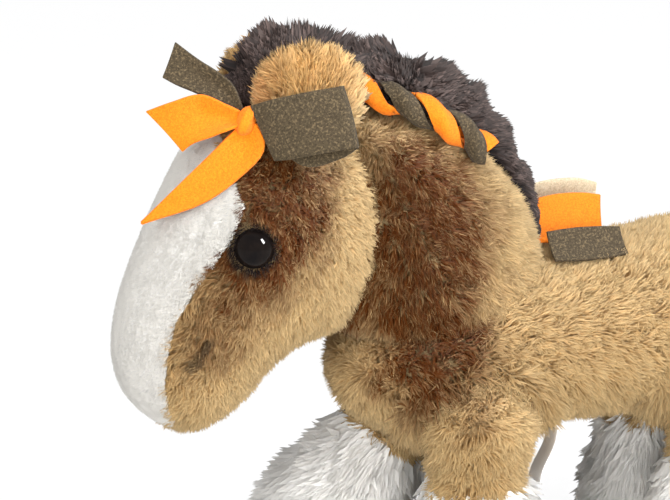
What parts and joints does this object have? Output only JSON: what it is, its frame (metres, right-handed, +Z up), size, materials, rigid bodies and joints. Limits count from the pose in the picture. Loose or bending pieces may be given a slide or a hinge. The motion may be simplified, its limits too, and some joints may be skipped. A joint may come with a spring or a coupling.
{
  "type": "plush horse",
  "caption": "Standing stuffed toy horse with a white blaze, long dark mane, felt ribbon bow and garland, and jointed head, ears, legs and tail.",
  "frame": {"origin": "on the floor, at the middle of the whole horse's bounding box", "axes": "the horse faces -X, its left side is -Y, +Z is up"},
  "size_m": [0.2871, 0.1008, 0.217],
  "materials": {
    "tan_plush": "two-tone tan and brown fur pile",
    "white_plush": "white fur pile",
    "dark_mane": "long dark brown pile",
    "orange_felt": "matt felt",
    "olive_felt": "matt speckled felt",
    "pale_felt": "matt pale beige felt",
    "eye_plastic": "polished black",
    "washer_plastic": "plain moulded",
    "stuffing": "polyester fibre fill",
    "sole_suede": "short napped cloth",
    "label_satin": "smooth white satin, bare"
  },
  "bodies": {
    "torso": {"torso_skin": "tan_plush", "torso_stuffing": "stuffing", "neck_skin": "tan_plush", "neck_stuffing": "stuffing", "mane": "dark_mane", "garland_orange": "orange_felt", "garland_olive": "olive_felt", "withers_ribbon_orange": "orange_felt", "withers_ribbon_olive": "olive_felt", "withers_ribbon_back": "pale_felt"},
    "head": {"head_skin": "tan_plush", "blaze_panel": "white_plush", "head_stuffing": "stuffing", "eye_left": "eye_plastic", "eye_right": "eye_plastic", "eye_washer_left": "washer_plastic", "eye_washer_right": "washer_plastic", "forelock": "dark_mane", "bow_knot": "orange_felt", "bow_tail_upper": "orange_felt", "bow_tail_lower": "orange_felt", "bow_tail_olive": "olive_felt", "bow_loop_olive": "olive_felt"},
    "ear_left": {"ear_left": "tan_plush"},
    "ear_right": {"ear_right": "tan_plush"},
    "foreleg_left": {"foreleg_left_skin": "tan_plush", "foreleg_left_foot": "white_plush", "foreleg_left_sole": "sole_suede", "foreleg_left_stuffing": "stuffing"},
    "foreleg_right": {"foreleg_right_skin": "tan_plush", "foreleg_right_foot": "white_plush", "foreleg_right_sole": "sole_suede", "foreleg_right_stuffing": "stuffing"},
    "hindleg_left": {"hindleg_left_skin": "tan_plush", "hindleg_left_foot": "white_plush", "hindleg_left_sole": "sole_suede", "hindleg_left_stuffing": "stuffing"},
    "hindleg_right": {"hindleg_right_skin": "tan_plush", "hindleg_right_foot": "white_plush", "hindleg_right_sole": "sole_suede", "hindleg_right_stuffing": "stuffing"},
    "tail": {"tail": "dark_mane"},
    "care_label": {"care_label": "label_satin"}
  },
  "joints": [
    {"name": "head_nod", "type": "hinge", "parent": "torso", "child": "head", "pos_m": [-0.0915, 0, 0.146], "axis": [0, 1, 0], "range_deg": [-12, 12], "stiffness_Nm_per_rad": 1.5},
    {"name": "ear_left_flap", "type": "hinge", "parent": "head", "child": "ear_left", "pos_m": [-0.07937, -0.02554, 0.18693], "axis": [0.9511, -0.3003, 0.0719], "range_deg": [-3, 6], "stiffness_Nm_per_rad": 0.05},
    {"name": "ear_right_flap", "type": "hinge", "parent": "head", "child": "ear_right", "pos_m": [-0.07937, 0.02554, 0.18693], "axis": [-0.9511, -0.3003, -0.0719], "range_deg": [-3, 6], "stiffness_Nm_per_rad": 0.05},
    {"name": "foreleg_left_swing", "type": "hinge", "parent": "torso", "child": "foreleg_left", "pos_m": [-0.0165, -0.0265, 0.072], "axis": [0, 1, 0], "range_deg": [-10, 20], "stiffness_Nm_per_rad": 2},
    {"name": "foreleg_right_swing", "type": "hinge", "parent": "torso", "child": "foreleg_right", "pos_m": [-0.0165, 0.0265, 0.072], "axis": [0, 1, 0], "range_deg": [-32, 5], "stiffness_Nm_per_rad": 2},
    {"name": "hindleg_left_swing", "type": "hinge", "parent": "torso", "child": "hindleg_left", "pos_m": [0.0805, -0.0265, 0.072], "axis": [0, 1, 0], "range_deg": [-15, 15], "stiffness_Nm_per_rad": 2},
    {"name": "hindleg_right_swing", "type": "hinge", "parent": "torso", "child": "hindleg_right", "pos_m": [0.0805, 0.0265, 0.072], "axis": [0, 1, 0], "range_deg": [-15, 15], "stiffness_Nm_per_rad": 2},
    {"name": "tail_swing", "type": "hinge", "parent": "torso", "child": "tail", "pos_m": [0.12043, 0, 0.11433], "axis": [0, 1, 0], "range_deg": [-40, 0], "stiffness_Nm_per_rad": 0.05},
    {"name": "label_flap", "type": "hinge", "parent": "torso", "child": "care_label", "pos_m": [0.0145, -0.024, 0.06675], "axis": [0, 1, 0], "range_deg": [-50, 0], "stiffness_Nm_per_rad": 0.0005}
  ]
}
